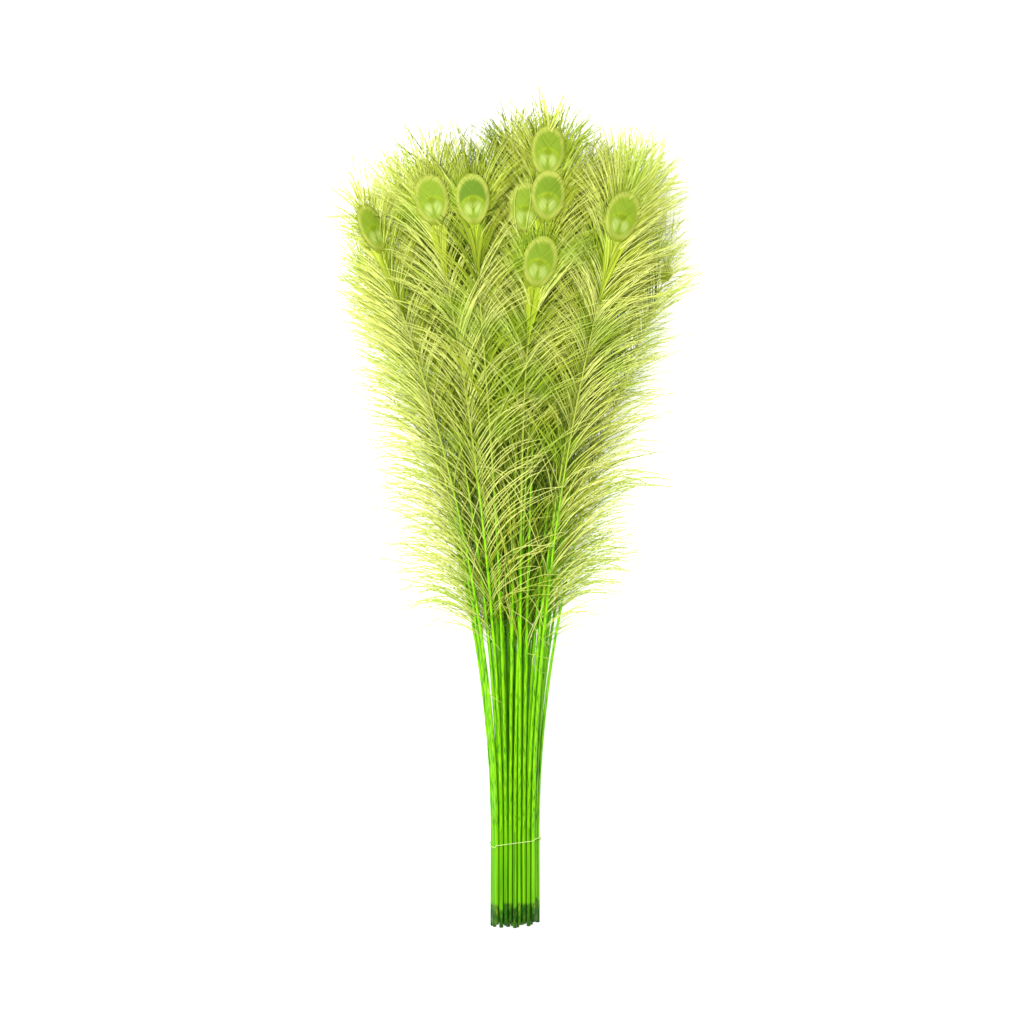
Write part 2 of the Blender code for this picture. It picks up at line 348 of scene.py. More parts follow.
# One feather of the top row lets its right-hand barbs sweep over its neighbours, low in the bunch
sweep = {
    "column": 1,
    "roots": (346.0, 676.0),
    "pitches": (3.9, 3.2),
    "high": 8.0,
    "risePower": 0.4,
    "steeper": 0.17,        # they bend less than their places on the shaft would have them
}
# Strays and tufts: points on a line, rounds of smoothing, height over the top row, and how far a
# tuft's barbs scatter at their first and last place
strayLay = {"stations": 15, "rounds": 6, "high": 3.5, "scatter": (5.0, 1.4)}

# Tufts that stand out of the crown: feather of the top row, root, places passed, then its barbs
tufts = (
    (6, 894.0, ((30, 914), (25, 943)), 10),
    (6, 892.0, ((46, 911), (55, 935)), 8),
    (8, 816.0, ((146, 848), (163, 884)), 6),
    (8, 735.0, ((150, 756), (186, 772)), 6),
    (8, 698.0, ((160, 714), (205, 729)), 7),
    (0, 806.0, ((-170, 834), (-186, 856)), 6),
    (0, 792.0, ((-186, 802), (-215, 803)), 7),
    (0, 806.0, ((-186, 824), (-210, 842)), 6),
)

# The eye: a close, thin oval plate, and the free barbs that ring it
eye = {
    "halfWidth": 19.0,
    "halfLength": 28.0,
    "egg": 0.07,
    "dome": 1.4,
    "thickness": 0.4,
    "seat": 0.8,            # the plate lies this far above the middle of the shaft
    "sinkFrom": 0.7,
    "sink": 2.4,            # its stem goes down between the barbs, so much for a half length
    "stem": 1.6,            # the close barbs run down to a point, this many half lengths below
    "stemFrom": 0.82,       # the oval turns into the stem this many half lengths below its middle
    "stemBend": 1.7,
    "widestShare": 0.55,    # share of the plate's rows that lie below its widest place
    "leastWidth": 0.03,
    "gridX": 8,
    "gridY": 20,
    "fringeShown": 104,
    "fringeCovered": 52,
    "fringeArc": 125,
    "fringeAhead": 60.0,
    "fringeGrows": 0.4,     # how much longer it is on the outermost heads
    "fringeSide": 62.0,
    "fringeSplay": 30.0,
    "splayRange": (0.4, 1.2),
    "splayFrom": 0.2,       # a barb turns the other way up to here
    "aheadSplay": 0.4,      # share of it that the barbs straight ahead have
    "fringeLengths": (1.12, 0.5),       # the longest, and how far the shortest fall short of it
    "coveredShares": (1.3, 0.8),        # of a covered head's fringe: in the middle, at the side
    "rolled": {0: 48.0},    # degrees that an eye of the top row is rolled about its shaft
    "underBarbs": (7,),     # eyes of the top row that other feathers' barbs cross
    "depths": (0.1, 0.0, 0.34, 0.05, 0.24, 0.2, 0.18, 0.2, 0.05),   # how deep the top row's dye is
    "hiddenSize": 0.34,     # a feather that lies face down shows no eye, and its plate is folded
    "fringeTurn": 8.0,
    "fringeFollows": 0.42,  # how far a barb points outwards from its place on the rim
    "fringeUneven": 2.0,
    "faceRoots": (0.86, 0.98),      # share of the way out to the rim where free barbs start
    "backRoots": (0.05, 0.95),
    "faceLow": -0.4,        # height of those roots over the eye, or over its folded back
    "backHigh": 2.6,
    "clearReach": 1.40,     # barbs are let down from here, in eye sizes, over this slope
    "clearSlope": 0.35,
    "keepClear": 2.0,
    "openBelow": 1.3,       # below the eye, barbs may come this much nearer
    "fall": 0.10,           # how steeply a head slopes down towards the quills
    "rimBarbs": 76,         # short free barbs that start on top of the plate's rim
    "rimArc": 150.0,
    "rimHigh": 0.85,
    "rimLength": 0.3,
    "rimUneven": 0.6,
    "throatBarbs": 64,      # close barbs below the eye, which end under its rim
    "throatRoots": (30.0, 96.0),
    "throatHigh": 1.9,
    "throatAcross": (0.20, 1.06),       # where they end, in eye units: the highest, the lowest
    "throatAlong": (-0.78, -0.03),
    "floorLift": 1.6,       # eyes of the feathers on the floor are held up by so much
}

# The bake map: the shaft in a strip at the left, then the eye's two faces, then a cell for each barb
bakeLay = {
    "stripFrom": (0.005, 0.01),
    "stripSize": (0.0125, 0.97),
    "stripBelow": 0.03,
    "eyeAbove": (0.13, 0.21, 0.50),     # half width and middle of the upper face, then of the lower
    "eyeBelow": (0.05, 0.13, 0.85),
    "eyeTall": 1.4,
    "barbsFrom": 0.37,
    "barbsWide": 0.62,
    "cellStart": (0.07, 0.10),
    "cellShare": 0.86,
}


# A point's way along the shaft at y, as unit vectors along it and across it to the right
def shaftWay(feather, y):
    slope = shaftX(feather, y + 0.5) - shaftX(feather, y - 0.5)
    size = np.sqrt(1 + slope ** 2)
    return slope / size, 1 / size


# Packs faces of one kind: their corners, bake places and the attributes of their points
def makePart(points, quads, tris, quadUv, triUv, material, **values):
    count = len(points)
    spread = {key: np.broadcast_to(np.asarray(value, float), count) for key, value in values.items()}
    return {
        "points": points, "quads": quads, "tris": tris, "quadUv": quadUv, "triUv": triUv,
        "material": material, "values": spread,
    }


def joinParts(name, parts, materials):
    points = np.concatenate([part["points"] for part in parts])
    base, quads, tris, quadMaterial, triMaterial = 0, [], [], [], []
    for part in parts:
        quads.append(part["quads"] + base)
        tris.append(part["tris"] + base)
        quadMaterial.append(np.full(len(part["quads"]), part["material"]))
        triMaterial.append(np.full(len(part["tris"]), part["material"]))
        base += len(part["points"])
    quads, tris = np.concatenate(quads), np.concatenate(tris)
    mesh = bpy.data.meshes.new(name)
    mesh.vertices.add(len(points))
    mesh.vertices.foreach_set("co", toFrame(points).ravel())
    mesh.loops.add(quads.size + tris.size)
    mesh.loops.foreach_set("vertex_index", np.concatenate([quads.ravel(), tris.ravel()]))
    mesh.polygons.add(len(quads) + len(tris))
    starts = np.concatenate([np.arange(len(quads)) * 4, quads.size + np.arange(len(tris)) * 3])
    mesh.polygons.foreach_set("loop_start", starts)
    mesh.polygons.foreach_set("material_index", np.concatenate(quadMaterial + triMaterial))
    mesh.polygons.foreach_set("use_smooth", np.ones(len(starts), bool))
    bakeMap = mesh.uv_layers.new(name="OFBake")
    corners = [part["quadUv"].reshape(-1, 2) for part in parts]
    corners += [part["triUv"].reshape(-1, 2) for part in parts]
    bakeMap.uv.foreach_set("vector", np.concatenate(corners).ravel())
    for key in ("along", "tone", "fromCut", "eyeU", "eyeV"):
        attribute = mesh.attributes.new(key, "FLOAT", "POINT")
        attribute.data.foreach_set("value", np.concatenate([
            part["values"].get(key, np.zeros(len(part["points"]))) for part in parts]))
    for material in materials:
        mesh.materials.append(material)
    mesh.update(calc_edges=True)
    return addObject(name, mesh)


# Reads a finished bmesh as points, quads and triangles
def readShape(shape):
    shape.verts.ensure_lookup_table()
    points = np.array([v.co[:] for v in shape.verts])
    quads = [[v.index for v in f.verts] for f in shape.faces if len(f.verts) == 4]
    tris = [[v.index for v in f.verts] for f in shape.faces if len(f.verts) == 3]
    return points, np.array(quads, int).reshape(-1, 4), np.array(tris, int).reshape(-1, 3)


def buildShaft(feather, tone):
    endY = feather["eyeY"] + shaft["pastEye"]
    stations = np.linspace(feather["cutY"], endY, int((endY - feather["cutY"]) / shaft["step"]) + 2)
    radii = shaftRadius(feather, stations) * np.interp(stations, shaft["narrows"], (1.0, shaft["vaneShare"]))
    radii[-1] *= shaft["endShare"]
    centres = np.stack([shaftX(feather, stations), stations, shaftZ(feather, stations)], axis=-1)
    shape = bmesh.new()
    bmesh.ops.create_circle(shape, segments=shaft["sides"], radius=1.0)
    bmesh.ops.rotate(shape, verts=shape.verts, matrix=Matrix.Rotation(math.pi / 2, 3, "X"))
    rim, rings = shape.edges[:], [shape.verts[:]]
    for _ in stations[1:]:
        grown = bmesh.ops.extrude_edge_only(shape, edges=rim)["geom"]
        verts = [item for item in grown if isinstance(item, bmesh.types.BMVert)]
        rim = [item for item in grown if isinstance(item, bmesh.types.BMEdge)]
        rim = [edge for edge in rim if all(vert in verts for vert in edge.verts)]
        rings.append(verts)
    for verts, centre, radius in zip(rings, centres, radii):
        for vert in verts:
            vert.co = Vector(centre) + vert.co * radius
    caps = bmesh.ops.holes_fill(shape, edges=[edge for edge in shape.edges if edge.is_boundary])["faces"]
    cut = min(caps, key=lambda face: face.calc_center_median().y)
    bmesh.ops.inset_region(shape, faces=[cut], thickness=shaft["wallThickness"], use_even_offset=True)
    floorOfHole = bmesh.ops.extrude_face_region(shape, geom=[cut])["geom"]
    bmesh.ops.delete(shape, geom=[cut], context="FACES_ONLY")
    moved = [item for item in floorOfHole if isinstance(item, bmesh.types.BMVert)]
    bmesh.ops.translate(shape, verts=moved, vec=(0, shaft["openDepth"], 0))
    bmesh.ops.triangulate(shape, faces=[face for face in shape.faces if len(face.verts) > 4])
    bmesh.ops.recalc_face_normals(shape, faces=shape.faces)
    shape.verts.index_update()
    points, quads, tris = readShape(shape)
    shape.free()
    along = (points[:, 1] - feather["cutY"]) / (endY - feather["cutY"])
    across = (points[:, 0] - shaftX(feather, points[:, 1])) / shaftRadius(feather, points[:, 1])
    high = points[:, 2] - shaftZ(feather, points[:, 1])

    # Upper and lower halves lie side by side in a narrow strip of the bake map
    def strip(faces):
        below = (high[faces].mean(axis=1) < 0)[:, None]
        place = np.stack([across[faces] + 1, along[faces]], axis=-1) * bakeLay["stripSize"]
        place[..., 0] += bakeLay["stripBelow"] * below
        return place + bakeLay["stripFrom"]

    points = droop(points)
    return makePart(
        points, quads, tris, strip(quads), strip(tris), 0,
        along=along, tone=tone, fromCut=(points[:, 1] - feather["cutY"]) / 100,
    )


# The plate's shape is made once, lying at zero: points in eye units, then its faces
def plateShape():
    shape = bmesh.new()
    bmesh.ops.create_grid(shape, x_segments=eye["gridX"], y_segments=eye["gridY"], size=1.0)
    for vert in shape.verts:
        row = (vert.co.y + 1) / 2 - eye["widestShare"]
        if row > 0:
            v = math.sin(math.pi / 2 * row / (1 - eye["widestShare"]))
            width = math.sqrt(1 - v * v)
        else:
            v = eye["stem"] * row / eye["widestShare"]
            past = max(-v - eye["stemFrom"], 0) / (eye["stem"] - eye["stemFrom"])
            width = math.sqrt(1 - min(-v, eye["stemFrom"]) ** 2) * (1 - past) ** eye["stemBend"]
        vert.co.x *= max(width, eye["leastWidth"])
        vert.co.y = v
    lower = bmesh.ops.extrude_face_region(shape, geom=shape.faces[:])["geom"]
    for item in lower:
        if isinstance(item, bmesh.types.BMVert):
            item.co.z = 1.0
    bmesh.ops.recalc_face_normals(shape, faces=shape.faces)
    shape.verts.index_update()
    points, quads, tris = readShape(shape)
    shape.free()
    return points, quads, tris


# Turns eye places (u across, v along) to the feather's own place in the plan
def eyePlace(feather, u, v, height):
    roll = math.radians(feather["roll"])
    size = 1.0 if feather["top"] else eye["hiddenSize"]
    across = u * eye["halfWidth"] * (1 + eye["egg"] * v) * size
    x = across * math.cos(roll) + height * math.sin(roll)
    z = height * math.cos(roll) - across * math.sin(roll)
    y = feather["eyeY"] + feather["eyeWay"][1] * v * eye["halfLength"] * size
    wayX, wayY = shaftWay(feather, y)
    return np.stack([
        shaftX(feather, y) + wayY * x,
        y - wayX * x,
        shaftZ(feather, y) + z + feather["eyeLift"],
    ], axis=-1)


def buildEye(feather, template, tone):
    points, quads, tris = template
    u, v, top = points[:, 0], points[:, 1], points[:, 2]
    height = eye["seat"] + eye["dome"] * (1 - u ** 2 - np.maximum(v, 0) ** 2)
    height += (top - 1) * eye["thickness"] + np.minimum(v + eye["sinkFrom"], 0) * eye["sink"]
    place = droop(eyePlace(feather, u, v, height))

    # The upper face has the larger place in the bake map
    def chart(faces):
        level = top[faces].mean(axis=1)[:, None]
        size, middleU, middleV = [
            np.where(level < 0.25, *pair) for pair in zip(bakeLay["eyeBelow"], bakeLay["eyeAbove"])]
        size = size * (1 - 0.04 * (top[faces] - level < -0.25))
        return np.stack([middleU + size * u[faces], middleV + bakeLay["eyeTall"] * size * v[faces]], axis=-1)

    return makePart(
        place, quads, tris, chart(quads), chart(tris), 2,
        along=1.0 if feather["top"] else 0.0, tone=tone, eyeU=u, eyeV=v,
    )


# Prisms of three sides along many centre lines, each drawn to a point.
# lines is barbs x stations x 3, and cells says where each barb lies in the bake map.
def prisms(lines, widths, cells, cellSize, along, tone):
    barbs, stations = lines.shape[:2]
    way = np.gradient(lines, axis=1)
    way /= np.linalg.norm(way, axis=2, keepdims=True) + 1e-9
    side = np.stack([way[..., 1], -way[..., 0], np.zeros_like(way[..., 0])], axis=-1)
    side /= np.linalg.norm(side, axis=2, keepdims=True) + 1e-9
    up = np.cross(side, way)
    width = widths[..., None]
    rings = np.stack([lines - side * width, lines + up * width * barb["ridge"], lines + side * width], axis=2)
    body = rings[:, :-1].reshape(barbs, -1, 3)
    points = np.concatenate([body, lines[:, -1:]], axis=1).reshape(-1, 3)
    perBarb = (stations - 1) * 3 + 1
    base = (np.arange(barbs) * perBarb)[:, None, None]
    ring = np.arange(stations - 2)[:, None] * 3
    corner, after = np.arange(3), (np.arange(3) + 1) % 3
    quad = np.stack([ring + corner, ring + after, ring + 3 + after, ring + 3 + corner], axis=-1)
    quads = (base[..., None] + quad[None]).reshape(-1, 4)
    lastRing = (stations - 2) * 3
    tip = np.stack([lastRing + corner, lastRing + after, np.full(3, perBarb - 1)], axis=-1)
    tris = (base + np.concatenate([tip, [[2, 1, 0]]])[None]).reshape(-1, 3)

    # Bake places: the three sides side by side, root at the bottom
    v = np.linspace(0, 1, stations)[:-1]
    quadU = np.stack([corner, corner + 1, corner + 1, corner], axis=-1)[None] / 3
    quadV = np.stack([v[:-1], v[:-1], v[1:], v[1:]], axis=-1)[:, None]
    quadUv = np.stack(np.broadcast_arrays(quadU, quadV), axis=-1).reshape(1, -1, 4, 2)
    tipU = np.stack([corner, corner + 1, corner + 0.5], axis=-1) / 3
    tipV = np.broadcast_to((v[-1], v[-1], 1.0), (3, 3))
    rootUv = np.array([[[1.0, -0.03], [0.5, -0.08], [0.0, -0.03]]])
    triUv = np.concatenate([np.stack([tipU, tipV], axis=-1), rootUv])[None]
    start = cells[:, None, None, :] + cellSize * bakeLay["cellStart"]
    inner = cellSize * bakeLay["cellShare"]
    quadUv, triUv = [(start + uv * inner).reshape(-1, uv.shape[2], 2) for uv in (quadUv, triUv)]
    ringAlong = np.repeat(along[:, :-1], 3, axis=1)
    pointAlong = np.concatenate([ringAlong, along[:, -1:]], axis=1).ravel()
    return makePart(
        points, quads, tris, quadUv, triUv, 1, along=pointAlong, tone=np.repeat(tone, perBarb),
    )


# Half the width of all the shafts together at y
def bunchHalfWidth(y):
    return np.max([np.abs(shaftX(feather, y)) for feather in outerShafts], axis=0)


# Places of barb roots up one side: sparse at the bottom, close at the top
def rootPlaces(first, last, pitches, rand):
    y = np.linspace(first, last, 400)
    up = np.clip(((y - first) / (last - first) - barb["thickens"][0]) / np.diff(barb["thickens"]), 0, 1)
    pitch = pitches[0] + (pitches[1] - pitches[0]) * up
    grown = np.concatenate([[0], np.cumsum((y[1] - y[0]) / pitch[1:])])
    wanted = np.arange(1, int(grown[-1])) + rand.uniform(-0.4, 0.4, int(grown[-1]) - 1)
    return np.interp(wanted, grown, y)


# How freely each barb may spread, 0 between neighbours low in the bunch and 1 at its sides and high
# up, and how near to the bunch's side it is
def freedom(feather, rootY, side, up, rand):
    outward = side * shaftX(feather, rootY) / bunchHalfWidth(rootY)
    edge = outward - barb["freeFrom"] + rand.normal(0, barb["freeJitter"], len(rootY))
    edge = np.clip(edge / barb["freeOver"], 0, 1)
    return np.maximum(edge, np.clip((up - barb["highFrom"]) / barb["highOver"], 0, 1)), edge


# Walks out from the shaft in short steps, at angles to it, and gives each station's way off the root
def walkOut(feather, y, angle, side, length):
    wayX, wayY = [np.reshape(part, (-1, 1)) for part in shaftWay(feather, y)]
    ahead, across = np.cos(angle), np.sin(angle) * side
    step = (length / angle.shape[1])[:, None]
    steps = np.stack([ahead * wayX + across * wayY, ahead * wayY - across * wayX]) * step
    return np.pad(np.cumsum(steps, axis=2), ((0, 0), (0, 0), (1, 0)))


# Centre lines of barbs that leave the shaft at rootY to one side each
def barbLines(feather, rootY, side, up, free, segments, rand):
    count = len(rootY)
    sheaf = np.cumsum(rand.uniform(0, 1, count) < 1 / barb["sheafSize"])
    sheaves = sheaf[-1] + 1
    members = np.maximum(np.bincount(sheaf, minlength=sheaves), 1)
    middle = (np.bincount(sheaf, rootY, minlength=sheaves) / members)[sheaf]

    def bySheaf(spread):
        return rand.normal(0, spread, sheaves)[sheaf]

    jitter, sway, wavy = [low + (high - low) * up for low, high in (
        barb["angleJitter"], barb["sheafTurn"], barb["waveAngle"])]
    turn = bySheaf(1) * sway + rand.normal(0, 1, count) * jitter
    sheafTone = bySheaf(barb["sheafTone"])
    swell = bySheaf(barb["sheafLength"])
    swell += rand.normal(0, barb["lengthJitter"], count)
    length = barb["lengthLow"] + (barb["lengthHigh"] - barb["lengthLow"]) * up
    length *= np.clip(barb["rootShare"] + (1 - barb["rootShare"]) * up / barb["rootZone"], 0, 1)
    length *= 1 + np.clip(swell, *barb["swellRange"])
    startLow, startHigh = barb["startAngle"]
    endLow, endHigh = barb["endAngle"]
    start = startLow + (startHigh - startLow) * up
    end = endHigh + (endLow - endHigh) * (1 - up) ** barb["endPower"]
    start = barb["heldStart"] + (start - barb["heldStart"]) * free + turn * barb["rootTurns"]
    end = np.minimum(end, barb["heldEnd"] + (end - barb["heldEnd"]) * free) + turn * barb["tipTurns"]
    share = ((np.arange(segments) + 0.5) / segments) ** barb["bendPower"]
    wavePace, wavePhase = rand.uniform(*barb["wavePace"], (count, 1)), rand.uniform(0, 1, (count, 1))
    wave = np.sin(2 * math.pi * (share[None] * wavePace + wavePhase))
    angle = start[:, None] + (end - start)[:, None] * share[None] + wavy[:, None] * share[None] * wave
    offX, offY = walkOut(feather, rootY, np.radians(angle), side[:, None], length)
    t = np.linspace(0, 1, segments + 1)[None]
    offY -= (rootY - middle)[:, None] * barb["sheafPull"] * t ** barb["pullPower"]
    rootX = shaftX(feather, rootY)
    keep = keepInside(rootX, rootY, offX, offY, rand.uniform(0, 1, sheaves)[sheaf])
    x = rootX[:, None] + offX * keep
    y = rootY[:, None] + offY * keep
    rise = bySheaf(barb["sheafLift"]) + rand.normal(0, barb["ownLift"], count)
    arch = barb["lift"] * np.sin(math.pi * t * barb["liftArch"])
    z = shaftZ(feather, y) + rise[:, None] * t + arch
    return droop(np.stack([x, y, z], axis=-1)), sheafTone


# Shortens barbs that would leave the room the bunch takes up, unevenly, so tufts stand out
def keepInside(rootX, rootY, offX, offY, chance):
    trim = 1 - (1 - room["leastReach"]) * chance ** room["reachPower"]
    reach = np.abs(rootX[:, None] + offX).max(axis=1) - np.abs(rootX)
    keepX = (room["halfX"] * trim - np.abs(rootX)) / np.maximum(reach, 1.0)
    ahead = (rootY[:, None] + offY).max(axis=1) - rootY
    keepY = (room["topY"] - (1 - trim) * room["topUneven"] - rootY) / np.maximum(ahead, 1.0)
    return np.clip(np.minimum(keepX, keepY), room["leastShare"], 1.0)[:, None]


# A ring of free barbs about the eye: from under its rim, or short ones that start on top of it
def fringeLines(feather, rand, onTop):
    outward = feather["outward"]
    count = eye["rimBarbs"] if onTop else eye["fringeShown"]
    if not feather["shown"]:
        count = round(eye["fringeCovered"] * float(np.interp(outward, (0, 1), eye["coveredShares"])))
    arc = eye["rimArc"] if onTop else eye["fringeArc"]
    spot = np.radians(np.linspace(-arc, arc, count) + rand.uniform(-2, 2, count))
    # A feather that lies face down shows the backs of its barbs where the eye would be
    reach = rand.uniform(*eye["faceRoots" if feather["top"] else "backRoots"], count)
    u, v = reach * np.sin(spot), reach * np.cos(spot)
    high = eye["faceLow"] if feather["top"] else eye["backHigh"]
    if onTop:
        high = eye["rimHigh"] + eye["dome"] * (1 - reach ** 2)
    root = eyePlace(feather, u, v, high)
    ahead = np.clip(np.cos(spot), 0, 1)
    length = eye["fringeAhead"] * (1 + eye["fringeGrows"] * outward) * ahead
    length += eye["fringeSide"] * (1 - ahead)
    length *= eye["rimLength"] if onTop else 1.0
    wild = rand.uniform(0, 1, count) < barb["wildShare"]
    longest, shorter = eye["fringeLengths"]
    length *= longest - shorter * rand.uniform(0, 1, count) ** 2 + barb["wildLonger"] * wild
    turn = np.radians(rand.normal(0, eye["fringeTurn"] + barb["wildTurn"] * wild))
    direction = spot * eye["fringeFollows"] + turn
    bend = np.sign(spot) * np.radians(eye["fringeSplay"]) * (1 - (1 - eye["aheadSplay"]) * ahead)
    bend *= rand.uniform(*eye["splayRange"], count)
    segments = barb["segmentsHigh"]
    share = (np.arange(segments) + 0.5) / segments
    angle = direction[:, None] + bend[:, None] * (share[None] - eye["splayFrom"])
    offX, offY = walkOut(feather, feather["eyeY"], angle, 1.0, length)
    tuft = np.repeat(rand.uniform(0, 1, count // 4 + 1), 4)[:count]
    keep = keepInside(root[:, 0], root[:, 1], offX, offY, tuft)
    t = np.linspace(0, 1, segments + 1)[None]
    x, y = root[:, :1] + offX * keep, root[:, 1:2] + offY * keep
    z = root[:, 2:] + rand.normal(0, eye["rimUneven" if onTop else "fringeUneven"], (count, 1)) * t
    return droop(np.stack([x, y, z], axis=-1))


# The close barbs of the vane below an eye: they run up beside the shaft and end under the rim
def throatLines(feather, rand):
    count = eye["throatBarbs"]
    share = (np.arange(count) // 2 * 2 + rand.uniform(0, 2, count)) / count
    side = np.where(np.arange(count) % 2, 1.0, -1.0)
    rootY = feather["eyeY"] - np.interp(share, (0, 1), eye["throatRoots"])
    across, along = [low + (high - low) * share for low, high in (eye["throatAcross"], eye["throatAlong"])]
    end = eyePlace(feather, side * across, along, 0.0)
    out = np.linspace(0, 1, barb["segmentsHigh"] + 1)[None]
    y = rootY[:, None] + (end[:, 1] - rootY)[:, None] * out
    swing = out ** 1.5
    x = shaftX(feather, y) + (end[:, 0] - shaftX(feather, end[:, 1]))[:, None] * swing
    rise = (end[:, 2] - shaftZ(feather, end[:, 1]))[:, None] * swing
    rise = rise + eye["throatHigh"] * np.minimum(1, 3 * out) + rand.normal(0, 0.3, (count, 1))
    return droop(np.stack([x, y, shaftZ(feather, y) + rise], axis=-1))


# Lays points evenly along a line, and gives its length too
def evenPath(points, count, closed):
    if closed:
        points = np.concatenate([points, points[:1]])
    gaps = np.linalg.norm(np.diff(points, axis=0), axis=1)
    reached = np.concatenate([[0], np.cumsum(gaps)])
    wanted = np.linspace(0, reached[-1], count, endpoint=not closed)
    return np.stack([np.interp(wanted, reached, line) for line in points.T], axis=-1), reached[-1]


# A stray's centre line, rounded through its places, above the top row
def strayLine(feather, rootY, places):
    marks = np.array([(float(shaftX(feather, rootY)), rootY), *places])
    flat = evenPath(marks, strayLay["stations"], False)[0]
    for _ in range(strayLay["rounds"]):
        flat[1:-1] = (flat[:-2] + 2 * flat[1:-1] + flat[2:]) / 4
    rise = strayLay["high"] * np.minimum(1, np.linspace(0, 4, strayLay["stations"]))
    z = shaftZ(feather, flat[:, 1]) + rise
    return droop(np.concatenate([flat, z[:, None]], axis=1))[None]


# Lets down whatever would cross an eye that shows
def clearEyes(lines, feather, eyes):
    for other in eyes:
        if other["level"] > feather["level"] + 1:
            continue
        away = lines[..., :2] - other["eyeCentre"][:2]
        wayX, wayY = other["eyeWay"]
        across = (away[..., 0] * wayY - away[..., 1] * wayX) / eye["halfWidth"]
        along = (away[..., 0] * wayX + away[..., 1] * wayY) / eye["halfLength"]
        along = np.where(along < 0, along * eye["openBelow"], along)
        near = np.clip((eye["clearReach"] - np.sqrt(across ** 2 + along ** 2)) / eye["clearSlope"], 0, 1)
        near = near * near * (3 - 2 * near)
        under = other["eyeCentre"][2] - eye["keepClear"] + np.minimum(away[..., 1], 0) * eye["fall"]
        lines[..., 2] = np.where(
            lines[..., 2] > under, lines[..., 2] * (1 - near) + under * near, lines[..., 2])
    return lines


def barbWidths(lines, rand):
    count, stations = lines.shape[:2]
    shape = np.interp(np.linspace(0, 1, stations), *zip(*barb["widths"]))
    return shape[None] * rand.uniform(*barb["widthRange"], (count, 1))


# Barbs of one kind: their lines, paleness, the places of root and tip on the colours, and width
def likeBarbs(kind, lines, rand, paler=0.0, further=0.0):
    pale, spread, start, end, width = barbKinds[kind]
    count = len(lines)
    pale = (rand.normal(pale, spread, count) if spread else pale) + np.broadcast_to(paler, count)
    return lines, pale, np.full(count, start), np.full(count, end + further), width


# Both sides of the vane, from the lowest barbs up to the eye
def vaneBarbs(feather, tone, first, last, eyes, rand):
    held = barb["heldShares"][feather["row"]]
    pitches = barb["pitchShown" if feather["shown"] or feather["row"] == 1 else "pitchCovered"]
    groups = []
    for side in (-1.0, 1.0):
        rootY = rootPlaces(first, last, pitches, rand)
        up = (rootY - first) / (last - first)
        free, edge = freedom(feather, rootY, side, up, rand)
        stays = rand.uniform(0, 1, len(up)) < held + (1 - held) * free
        low = up < barb["lowZone"]
        for chosen, segments in ((stays & low, barb["segmentsLow"]), (stays & ~low, barb["segmentsHigh"])):
            y, high, loose, near = rootY[chosen], up[chosen], free[chosen], edge[chosen]
            lines, shade = barbLines(feather, y, np.full(len(y), side), high, loose, segments, rand)
            # Painted light: barbs near the bunch's open sides are painted paler, less so where they stand
            # close
            light = near * (1 - barb["closeDims"] * high)
            pale = shade + (barb["sidesPaintedLight"] + barb["toneDarkens"] * tone) * light
            # Painted shade on barbs held between neighbours
            pale -= barb["heldPaintedShade"] * (1 - loose)
            start, end = barb["lightStart"] * light, 1 - barb["innerShort"] * high * (1 - near)
            groups.append((clearEyes(lines, feather, eyes), pale, start, end, 1.0))
    return groups


# Right-hand barbs that one feather lets sweep over its neighbours
def sweepBarbs(feather, first, last, eyes, rand):
    rootY = rootPlaces(*sweep["roots"], sweep["pitches"], rand)
    whole = np.ones(len(rootY))
    up = (rootY - first) / (last - first) + sweep["steeper"]
    lines, shade = barbLines(feather, rootY, whole, up, whole, barb["segmentsLow"], rand)
    t = np.linspace(0, 1, barb["segmentsLow"] + 1)[None]
    lines[..., 2] += sweep["high"] * t ** sweep["risePower"]
    # The sweeping barbs are painted paler, partly with painted light because they lie on top
    return likeBarbs("sweep", clearEyes(lines, feather, eyes), rand, paler=shade)


def tuftBarb(feather, rootY, places, rand):
    spread = np.linspace(*strayLay["scatter"], len(places))[:, None]
    passed = np.array(places) - np.abs(rand.normal(0, spread, (len(places), 2))) * (0, 1)
    passed += rand.normal(0, spread, (len(places), 2)) * (1, 0)
    return likeBarbs("tuft", strayLine(feather, rootY + rand.normal(0, 4), passed), rand)


